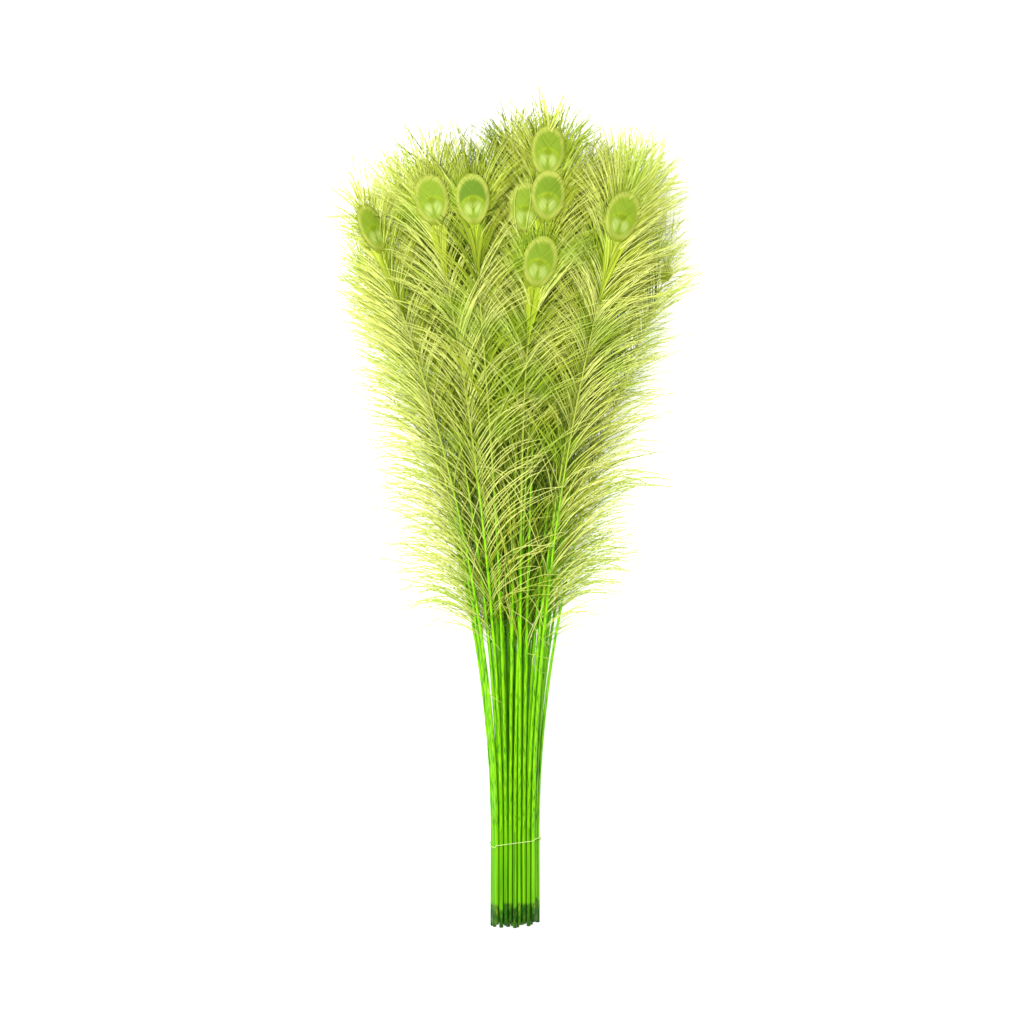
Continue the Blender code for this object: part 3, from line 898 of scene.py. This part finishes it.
def buildPlume(number, feather, template, materials, eyes):
    rand = np.random.default_rng(bunch["seed"] * 100 + number)
    outward = feather["outward"]
    seen = feather["shown"] or feather["outer"]
    # Painted shade: feathers deep in the bunch get a higher tone, so their barbs and quills are painted
    # darker
    edge = np.clip((outward - barb["innerWithin"]) / barb["innerOver"], 0, 1)
    inner = 0.0 if seen else barb["innerPaintedShade"] * (1 - edge)
    tone = eye["depths"][feather["column"]] if feather["top"] else rand.uniform(*barb["hiddenTones"]) + inner
    first, last = feather["vaneY"] - barb["leadIn"], feather["eyeY"] - barb["stopBelowEye"]
    groups = vaneBarbs(feather, tone, first, last, eyes, rand)
    fringe = clearEyes(fringeLines(feather, rand, False), feather, eyes)
    # Painted light: the fringes of the outermost heads are painted paler, and their tips reach further into
    # the palest colour
    paler = (barb["fringeSidesPaintedLight"] + barb["toneDarkens"] * tone) * outward ** 2
    groups.append(likeBarbs("fringe", fringe, rand, paler, barb["fringeFurther"] * outward ** 2))
    if feather is topRow[sweep["column"]]:
        groups.append(sweepBarbs(feather, first, last, eyes, rand))
    if feather["top"]:
        others = [other for other in eyes if other is not feather]
        rim = clearEyes(fringeLines(feather, rand, True), feather, others)
        groups.append(likeBarbs("rim", rim, rand))
        throat = clearEyes(throatLines(feather, rand), feather, eyes)
        groups.append(likeBarbs("throat", throat, rand))
    for column, rootY, places, count in tufts:
        for _ in range(count if feather is topRow[column] else 0):
            groups.append(tuftBarb(feather, rootY, places, rand))
    for kind, paths in strays.items():
        for column, rootY, places in paths:
            if feather is topRow[column]:
                groups.append(likeBarbs(kind, strayLine(feather, rootY, places), rand))

    # Each barb gets a cell of its own in the bake map, right of the shaft and the eye
    total = sum(len(group[0]) for group in groups)
    columns = math.ceil(math.sqrt(total * bakeLay["barbsWide"]))
    rows = math.ceil(total / columns)
    cellSize = np.array([bakeLay["barbsWide"] / columns, 1.0 / rows])
    parts = [buildShaft(feather, tone), buildEye(feather, template, tone)]
    laid = 0
    # Ground tone: darker by the feather's tone (dye depth, and painted shade deep in the bunch), paler on the
    # top row by painted light
    ground = barb["paleness"] - barb["toneDarkens"] * tone + barb["topPaintedLight"] * feather["top"]
    for lines, pale, start, end, width in groups:
        widths = barbWidths(lines, rand) * width
        lines[..., 2] = np.clip(lines[..., 2], room["floorZ"], room["topZ"])
        index = laid + np.arange(len(lines))
        cells = np.stack([index % columns, index // columns], axis=-1) * cellSize + (bakeLay["barbsFrom"], 0)
        along = np.linspace(start, end, lines.shape[1], axis=1)
        tones = np.clip(ground + pale + rand.normal(0, barb["ownTone"], len(lines)), 0, 1)
        parts.append(prisms(lines, widths, cells, cellSize, along, tones))
        laid += len(lines)
    return joinParts(f"featherPlume{number:02d}", parts, materials)


# Materials. Colours are sRGB hex, as the eye reads them
def hexColour(text):
    values = [int(text[i:i + 2], 16) / 255 for i in (1, 3, 5)]
    linear = [v / 12.92 if v <= 0.04045 else ((v + 0.055) / 1.055) ** 2.4 for v in values]
    return (*linear, 1.0)


# Adds a node: other nodes' outputs are linked, a # colour or a value fills a socket, the rest are
# fields, and stops are those of a colour ramp
def addNode(tree, kind, values, stops=()):
    node = tree.nodes.new(kind)
    for key, value in values.items():
        if isinstance(value, bpy.types.NodeSocket):
            tree.links.new(value, node.inputs[key])
        elif isinstance(key, int) or key in node.inputs:
            node.inputs[key].default_value = hexColour(value) if isinstance(value, str) else value
        else:
            setattr(node, key, value)
    if stops:
        ramp = node.color_ramp
        while len(ramp.elements) < len(stops):
            ramp.elements.new(0.5)
        for element, (place, colour) in zip(ramp.elements, stops):
            element.position = place
            element.color = hexColour(colour)
    return node


# Starts a material, and gives the mesh attributes that it reads
def newMaterial(name, finish, *attributes):
    material = bpy.data.materials.new(name)
    material.use_nodes = True
    tree = material.node_tree
    shader = tree.nodes["Principled BSDF"]
    shader.inputs["Roughness"].default_value = finish["roughness"]
    shader.inputs["Specular IOR Level"].default_value = finish["specular"]
    read = [addNode(tree, "ShaderNodeAttribute", {"attribute_name": key}) for key in attributes]
    return material, tree, shader, *[node.outputs["Fac"] for node in read]


# Lays a colour over another where value has passed from low to high, up to the limit
def paint(tree, under, over, value, low, high, limit=1.0, ease="SMOOTHSTEP"):
    share = addNode(tree, "ShaderNodeMapRange", {
        "interpolation_type": ease, "Value": value, "From Min": low, "From Max": high, "To Max": limit})
    mixed = addNode(tree, "ShaderNodeMix", {
        "data_type": "RGBA", 0: share.outputs["Result"], 6: under, 7: over})
    return mixed.outputs[2]


# Noise that is stretched over the piece in its own coordinates
def ownNoise(tree, stretch, values):
    place = addNode(tree, "ShaderNodeTexCoord", {}).outputs["Object"]
    place = addNode(tree, "ShaderNodeMapping", {"Vector": place, "Scale": stretch}).outputs["Vector"]
    return addNode(tree, "ShaderNodeTexNoise", {"Vector": place, **values}).outputs["Fac"]


def joinColour(tree, shader, colour, relief, strength, depth):
    bump = addNode(tree, "ShaderNodeBump", {"Strength": strength, "Distance": depth, "Height": relief})
    tree.links.new(colour, shader.inputs["Base Color"])
    tree.links.new(bump.outputs["Normal"], shader.inputs["Normal"])


# Dyed keratin quill: a smooth, waxy tube. The bath stains it a clear lime, and the soaked cut end
# holds far more dye, so it goes almost black-green with gold where the sheath flakes.
quillFinish = {
    "up": ((0.0, "#5FA800"), (0.15, "#6DBE00"), (0.45, "#84D006")),
    "vane": "#A4B040",      # where the barbs' oil kept the dye off
    "vaneFrom": (0.50, 0.74),
    # colour for a high tone: the feather's dye depth, and painted shade on quills deep in the bunch
    "deepDyeAndShade": "#347C00",
    # lengthwise streaks: colour that varies along the quill, and painted shade and painted highlights
    "streakAndShade": "#3A7E00",
    "streakAndHighlight": "#AAE612",
    "soaked": ((0.30, "#16300A"), (0.48, "#27620C"), (0.60, "#4C7F12"), (0.72, "#A8A838")),
    "darkShort": 0.20,      # tenths of a metre that the soaked end reaches up: least, most
    "darkLong": 0.38,
    "ragged": 0.12,
    "roughness": 0.42,
    "specular": 0.16,
}


def quillMaterial():
    material, tree, shader, along, tone, fromCut = newMaterial(
        "dyedKeratinQuill", quillFinish, "along", "tone", "fromCut")
    streaks = ownNoise(tree, (700.0, 9.0, 700.0), {"Scale": 1.0, "Detail": 3.0})
    colour = addNode(tree, "ShaderNodeValToRGB", {"Fac": along}, quillFinish["up"]).outputs["Color"]
    # Lengthwise streaks: partly colour variation, partly painted shade and painted highlights
    colour = paint(tree, colour, quillFinish["streakAndShade"], streaks, 0.52, 0.30)
    colour = paint(tree, colour, quillFinish["streakAndHighlight"], streaks, 0.50, 0.72, 0.55)
    # Darker by tone: dye depth, and painted shade for quills deep in the bunch
    colour = paint(tree, colour, quillFinish["deepDyeAndShade"], tone, 0.0, 1.0, 0.5, "LINEAR")
    colour = paint(tree, colour, quillFinish["vane"], along, *quillFinish["vaneFrom"])
    patches = ownNoise(tree, (330.0, 95.0, 330.0), {"Scale": 1.0, "Detail": 4.0, "Roughness": 0.65})
    soaked = addNode(tree, "ShaderNodeValToRGB", {"Fac": patches}, quillFinish["soaked"]).outputs["Color"]
    edge = addNode(tree, "ShaderNodeMath", {
        "operation": "MULTIPLY_ADD", 0: tone, 1: quillFinish["darkLong"] - quillFinish["darkShort"],
        2: quillFinish["darkShort"] - quillFinish["ragged"] / 2})
    edge = addNode(tree, "ShaderNodeMath", {
        "operation": "MULTIPLY_ADD", 0: patches, 1: quillFinish["ragged"], 2: edge.outputs[0]})
    past = addNode(tree, "ShaderNodeMath", {"operation": "SUBTRACT", 0: fromCut, 1: edge.outputs[0]})
    colour = paint(tree, soaked, colour, past.outputs[0], -0.02, 0.02)
    joinColour(tree, shader, colour, streaks, 0.25, 0.0003)
    return material


# Bleached and dyed barb: a soft, dry filament fringed with barbules. It takes the dye unevenly,
# olive near the shaft where the old pigment stays and pale yellow-green at the tip.
barbFinish = {
    "along": ((0.0, "#7A940A"), (0.25, "#9AB01C"), (0.55, "#B8C634"), (0.85, "#D4DE62"), (1.0, "#EEF4B4")),
    # dark and light follow the barb's tone: random darker and paler barbs, painted shade deep in the pile and
    # between neighbours, painted light on the top row and at the sides
    "dark": "#324E02",
    "light": "#ECF28C",
    "green": "#92C012",
    "roughness": 0.75,
    "specular": 0.25,
}


def barbMaterial():
    material, tree, shader, along, tone = newMaterial("bleachedDyedBarb", barbFinish, "along", "tone")
    patches = ownNoise(tree, (1.0, 1.0, 1.0), {"Scale": 16.0, "Detail": 2.0})
    colour = addNode(tree, "ShaderNodeValToRGB", {"Fac": along}, barbFinish["along"]).outputs["Color"]
    # Tone paints darker and paler barbs: partly random, partly painted shade and painted light
    colour = paint(tree, colour, barbFinish["dark"], tone, 0.45, 0.0, 0.85)
    colour = paint(tree, colour, barbFinish["light"], tone, 0.55, 1.0, 0.7)
    colour = paint(tree, colour, barbFinish["green"], patches, 0.45, 0.70, 0.5)
    tree.links.new(colour, shader.inputs["Base Color"])
    return material


# Dyed eye: short barbs packed flat like velvet. The bleached-out rings of the eye take the dye
# in different depths, so its oval, disc and paired lobes stay readable in greens.
eyeFinish = {
    "field": "#7C9424",
    "fieldDeep": "#587818",
    "ring": "#889E1A",
    "disc": "#7A9220",
    "back": "#8A9C22",
    "ovals": {      # middle and half size across and along, in eye units
        "whole": (0.0, 0.0, 1.0, 1.0),
        "disc": (0.0, -0.33, 0.74, 0.45),
        "lobe": (0.26, -0.38, 0.28, 0.27),      # one on each side
        "notch": (0.0, -0.50, 0.10, 0.26),
        "spot": (0.0, -0.05, 0.24, 0.14),
        "crescent": (0.0, -0.62, 0.74, 0.34),
    },
    "layers": (     # what each colour follows, where it starts and is full, and its most
        ("crescent", "#688822", 1.05, 0.80, 1.0),
        ("disc", "ring", 1.12, 0.90, 1.0),
        ("disc", "#7A9220", 0.93, 0.70, 1.0),
        ("lobe", "#9EB056", 1.35, 0.35, 1.0),
        ("notch", "#7A9220", 1.20, 0.50, 1.0),
        ("spot", "#728610", 1.20, 0.50, 1.0),
        ("whole", "#9FA846", 0.67, 0.87, 1.0),
        ("whole", "#6C7C0C", 0.95, 1.0, 0.7),
        ("v", "#7E8C1E", -0.72, -1.0, 1.0),
        ("ribs", "#526A0A", 0.58, 0.32, 0.5),
    ),
    "barbPitch": 1.5,       # mm between the drawn ribs: the real 0.5 mm is too fine to show
    "ribSlope": 1.5,
    "frays": 0.24,
    "roughness": 0.7,
    "specular": 0.12,
}


# 0 in the middle of an oval of the eye, 1 at its line
def ovalReach(tree, across, along, middleU, middleV, halfU, halfV):
    place = addNode(tree, "ShaderNodeCombineXYZ", {"X": across, "Y": along})
    place = addNode(tree, "ShaderNodeVectorMath", {
        "operation": "SUBTRACT", 0: place.outputs["Vector"], 1: (middleU, middleV, 0.0)})
    place = addNode(tree, "ShaderNodeVectorMath", {
        "operation": "DIVIDE", 0: place.outputs["Vector"], 1: (halfU, halfV, 1.0)})
    return addNode(tree, "ShaderNodeVectorMath", {
        "operation": "LENGTH", 0: place.outputs["Vector"]}).outputs["Value"]


def eyeMaterial():
    material, tree, shader, u, v, tone, faceUp = newMaterial(
        "dyedEyeVelvet", eyeFinish, "eyeU", "eyeV", "tone", "along")

    # Ribs run up and out from the shaft like a chevron, and they fray every line between two colours
    aside = addNode(tree, "ShaderNodeMath", {"operation": "ABSOLUTE", 0: u}).outputs[0]
    outward = addNode(tree, "ShaderNodeMath", {
        "operation": "MULTIPLY", 0: aside, 1: -eye["halfWidth"] * eyeFinish["ribSlope"]})
    chevron = addNode(tree, "ShaderNodeMath", {
        "operation": "MULTIPLY_ADD", 0: v, 1: eye["halfLength"], 2: outward.outputs[0]})
    place = addNode(tree, "ShaderNodeCombineXYZ", {"X": chevron.outputs[0], "Y": u, "Z": tone})
    place = addNode(tree, "ShaderNodeMapping", {
        "Vector": place.outputs["Vector"], "Scale": (1 / eyeFinish["barbPitch"], 1.6, 40.0)})
    ribs = addNode(tree, "ShaderNodeTexNoise", {
        "Vector": place.outputs["Vector"], "Scale": 1.0, "Detail": 1.5}).outputs["Fac"]
    sway = addNode(tree, "ShaderNodeMath", {"operation": "SUBTRACT", 0: ribs, 1: 0.5}).outputs[0]
    frayed = addNode(tree, "ShaderNodeMath", {
        "operation": "MULTIPLY_ADD", 0: sway, 1: eyeFinish["frays"], 2: v}).outputs[0]
    follows = {"v": v, "ribs": ribs}
    for name, oval in eyeFinish["ovals"].items():
        follows[name] = ovalReach(tree, aside if name == "lobe" else u, frayed, *oval)
    ring = paint(tree, eyeFinish["disc"], eyeFinish["ring"], v, -0.30, -0.05)
    colour = paint(tree, eyeFinish["field"], eyeFinish["fieldDeep"], tone, 0.1, 0.4)
    for name, over, low, high, limit in eyeFinish["layers"]:
        over = ring if over == "ring" else over
        colour = paint(tree, colour, over, follows[name], low, high, limit)
    colour = paint(tree, eyeFinish["back"], colour, faceUp, 0.0, 1.0)
    joinColour(tree, shader, colour, ribs, 0.3, 0.0003)
    return material


# Twisted cotton string: matt, two plies, bleached and only lightly stained by the feathers
stringFinish = {"stained": "#A4CC58", "clean": "#CFE396", "roughness": 0.9, "specular": 0.2}


def stringMaterial():
    material, tree, shader = newMaterial("twistedCottonString", stringFinish)
    fibres = ownNoise(tree, (1.0, 1.0, 1.0), {"Scale": 2600.0, "Detail": 3.0})
    colour = paint(tree, stringFinish["stained"], stringFinish["clean"], fibres, 0.0, 1.0, ease="LINEAR")
    joinColour(tree, shader, colour, fibres, 0.4, 0.0002)
    return material


def addObject(name, data):
    thing = bpy.data.objects.new(name, data)
    scene.collection.objects.link(thing)
    return thing


# The string: two plies wound round each other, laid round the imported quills, with a small knot
def stringPath(turns):
    off = bunch["quillRadius"] + stringLay["gap"] + stringLay["radius"]
    points = []
    for turn in turns:
        outX, outZ = math.cos(turn), math.sin(turn)
        corner = max(plan, key=lambda quill: quill["baseX"] * outX + quill["baseZ"] * outZ)
        x, z = corner["baseX"] + off * outX, corner["baseZ"] + off * outZ
        y = stringLay["y"] + stringLay["slant"] * x + stringLay["slack"] * math.sin(turn * 2)
        points.append((x, y, z))
    return np.array(points)


def plyCurve(name, centre, length, phase, closed):
    way = np.gradient(centre, axis=0)
    if closed:
        way = np.roll(centre, -1, axis=0) - np.roll(centre, 1, axis=0)
    way /= np.linalg.norm(way, axis=1, keepdims=True)
    first = np.cross(way, (0.0, 1.0, 0.31))
    first /= np.linalg.norm(first, axis=1, keepdims=True)
    second = np.cross(way, first)
    turns = round(length / stringLay["plyPitch"])
    spin = 2 * math.pi * turns * np.arange(len(centre)) / len(centre) + phase
    apart = stringLay["plyApart"]
    points = centre + apart * (np.cos(spin)[:, None] * first + np.sin(spin)[:, None] * second)
    points[:, 2] = np.maximum(points[:, 2], stringLay["plyRadius"] + 0.02)
    curve = bpy.data.curves.new(name, "CURVE")
    curve.dimensions = "3D"
    curve.bevel_depth = stringLay["plyRadius"] * mm
    curve.bevel_resolution = 1
    curve.use_fill_caps = not closed
    spline = curve.splines.new("POLY")
    spline.points.add(len(points) - 1)
    spline.use_cyclic_u = closed
    weighted = np.concatenate([toFrame(points), np.ones((len(points), 1))], axis=1)
    spline.points.foreach_set("co", weighted.ravel())
    return addObject(name, curve)


def buildString(material):
    strands = []
    count = stringLay["points"]
    loop, length = evenPath(stringPath(np.linspace(0, 2 * math.pi, count, endpoint=False)), count * 8, True)
    lines = [(loop, length, True)]
    knotAt = stringPath([math.radians(stringLay["knotAngle"])])[0]
    t = np.linspace(0, 1, stringLay["steps"])
    turn, size = 2 * math.pi * stringLay["knotLoops"] * t, stringLay["knotRadius"]
    knot = knotAt + np.stack([
        size * np.cos(turn) + stringLay["knotWide"] * (t - 0.5),
        size * stringLay["knotTall"] * np.sin(turn),
        size * stringLay["knotFlat"] * np.sin(1.5 * turn),
    ], axis=-1)
    lines.append((*evenPath(knot, stringLay["knotPoints"], False), False))
    for ahead in (-1, 1):
        tail = knotAt + np.stack([
            stringLay["tailSway"] * np.sin(2.2 * t) + stringLay["tailAside"] * t,
            ahead * stringLay["tailLength"] * t,
            (stringLay["radius"] + 0.1 - knotAt[2]) * np.sin(t * math.pi / 2),
        ], axis=-1)
        lines.append((*evenPath(tail, stringLay["tailPoints"], False), False))
    for index, (centre, size, closed) in enumerate(lines):
        for phase in (0.0, math.pi):
            strands.append(plyCurve(f"ply{index}{phase:.0f}", centre, size, phase, closed))
    graph = bpy.context.evaluated_depsgraph_get()
    shape = bmesh.new()
    for strand in strands:
        shape.from_mesh(bpy.data.meshes.new_from_object(strand.evaluated_get(graph)))
        bpy.data.objects.remove(strand, do_unlink=True)
    mesh = bpy.data.meshes.new("twistedTieString")
    shape.to_mesh(mesh)
    shape.free()
    mesh.materials.clear()
    mesh.materials.append(material)
    for face in mesh.polygons:
        face.material_index = 0
        face.use_smooth = True
    print("string loop", round(length), "mm")
    return addObject("twistedTieString", mesh)


# How much room the visible bunch has, in plan millimetres
room = {
    "halfX": (cadBox[1].x - cadBox[0].x) / 2 / mm - 1.0,
    "topY": (cadBox[1].y - cadBox[0].y) / mm - 1.0,
    "topZ": cadBox[1].z / mm - 0.5,
    "floorZ": 0.7,
    "leastReach": 0.75,     # share of the width that the shortest barbs keep to
    "reachPower": 1.5,
    "leastShare": 0.15,
    "topUneven": 100.0,
}

for feather in plan:
    feather["roll"] = eye["rolled"].get(feather["column"], 0.0) if feather["top"] else 0.0
    feather["outward"] = min(abs(feather["headX"]) / bunch["rowSpread"][-1], 1)
    feather["eyeLift"] = eye["floorLift"] if feather["level"] == 0 else 0.0
    centre = np.array([feather["headX"], feather["eyeY"], float(shaftZ(feather, feather["eyeY"]))])
    feather["eyeCentre"] = droop(centre)
    feather["eyeWay"] = [float(part) for part in shaftWay(feather, feather["eyeY"])]
outerShafts = [feather for feather in plan if feather["outer"]]
topRow = [feather for feather in plan if feather["top"]]
clearTops = [feather for feather in topRow if feather["column"] not in eye["underBarbs"]]
print("plan made,", len(plan), "feathers")

materials = [quillMaterial(), barbMaterial(), eyeMaterial()]
template = plateShape()
faces = 0
for number, feather in enumerate(plan, start=1):
    plume = buildPlume(number, feather, template, materials, clearTops)
    faces += sum(len(face.vertices) - 2 for face in plume.data.polygons)
    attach(plume, "root")
    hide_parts(f"feather_{number:02d}")
print("plumes built,", faces, "triangles")

tieString = buildString(stringMaterial())
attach(tieString, "root")
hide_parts("tie_string")
print("string laid")


# A white sweep under the bunch, even white light and one broad soft lamp from the upper left
studio = {
    "floorSize": 60.0,
    "floorDrop": 0.0004,
    "floorGlow": 0.7,       # keeps the paper white beside the bunch
    "paper": (0.93, 0.93, 0.93, 1.0),
    "roughness": 0.95,
    "specular": 0.0,
    "worldStrength": 0.48,
    "lampEnergy": 100.0,
    "lampSize": 0.8,
    "lampPlace": (-0.7, 0.7, 2.4),
}


def buildStudio():
    shape = bmesh.new()
    bmesh.ops.create_grid(shape, x_segments=1, y_segments=1, size=studio["floorSize"] / 2)
    bmesh.ops.translate(shape, verts=shape.verts, vec=(0, 0, cadBox[0].z - studio["floorDrop"]))
    mesh = bpy.data.meshes.new("paleFloor")
    shape.to_mesh(mesh)
    shape.free()
    floor = addObject("paleFloor", mesh)
    paper, _, shader = newMaterial("matWhitePaper", studio)
    shader.inputs["Base Color"].default_value = studio["paper"]
    shader.inputs["Emission Color"].default_value = (1.0, 1.0, 1.0, 1.0)
    shader.inputs["Emission Strength"].default_value = studio["floorGlow"]
    mesh.materials.append(paper)
    world = bpy.data.worlds.new("evenWhite")
    world.use_nodes = True
    backdrop = world.node_tree.nodes["Background"]
    backdrop.inputs["Color"].default_value = (1.0, 1.0, 1.0, 1.0)
    seen = addNode(world.node_tree, "ShaderNodeLightPath", {}).outputs["Is Camera Ray"]
    strength = addNode(world.node_tree, "ShaderNodeMath", {
        "operation": "MULTIPLY_ADD", 0: seen, 1: 1 - studio["worldStrength"], 2: studio["worldStrength"]})
    world.node_tree.links.new(strength.outputs[0], backdrop.inputs["Strength"])
    scene.world = world
    lamp = bpy.data.lights.new("broadLamp", "AREA")
    lamp.size = studio["lampSize"]
    lamp.energy = studio["lampEnergy"]
    lampObject = addObject("broadLamp", lamp)
    lampObject.location = studio["lampPlace"]
    lampObject.rotation_euler = Vector(studio["lampPlace"]).to_track_quat("Z", "Y").to_euler()
    lens = bpy.data.cameras.new("photoCamera")
    lens.sensor_width = cameraPlace["sensorWidth"]
    lens.lens = cameraPlace["sensorWidth"] * cameraPlace["distance"] / cameraPlace["frameWidth"]
    cameraObject = addObject("photoCamera", lens)
    height = cameraPlace["sharpHeight"] + cameraPlace["distance"]
    cameraObject.location = toFrame((cameraPlace["middleX"], cameraPlace["middleY"], height))
    scene.camera = cameraObject


buildStudio()
print("studio set")
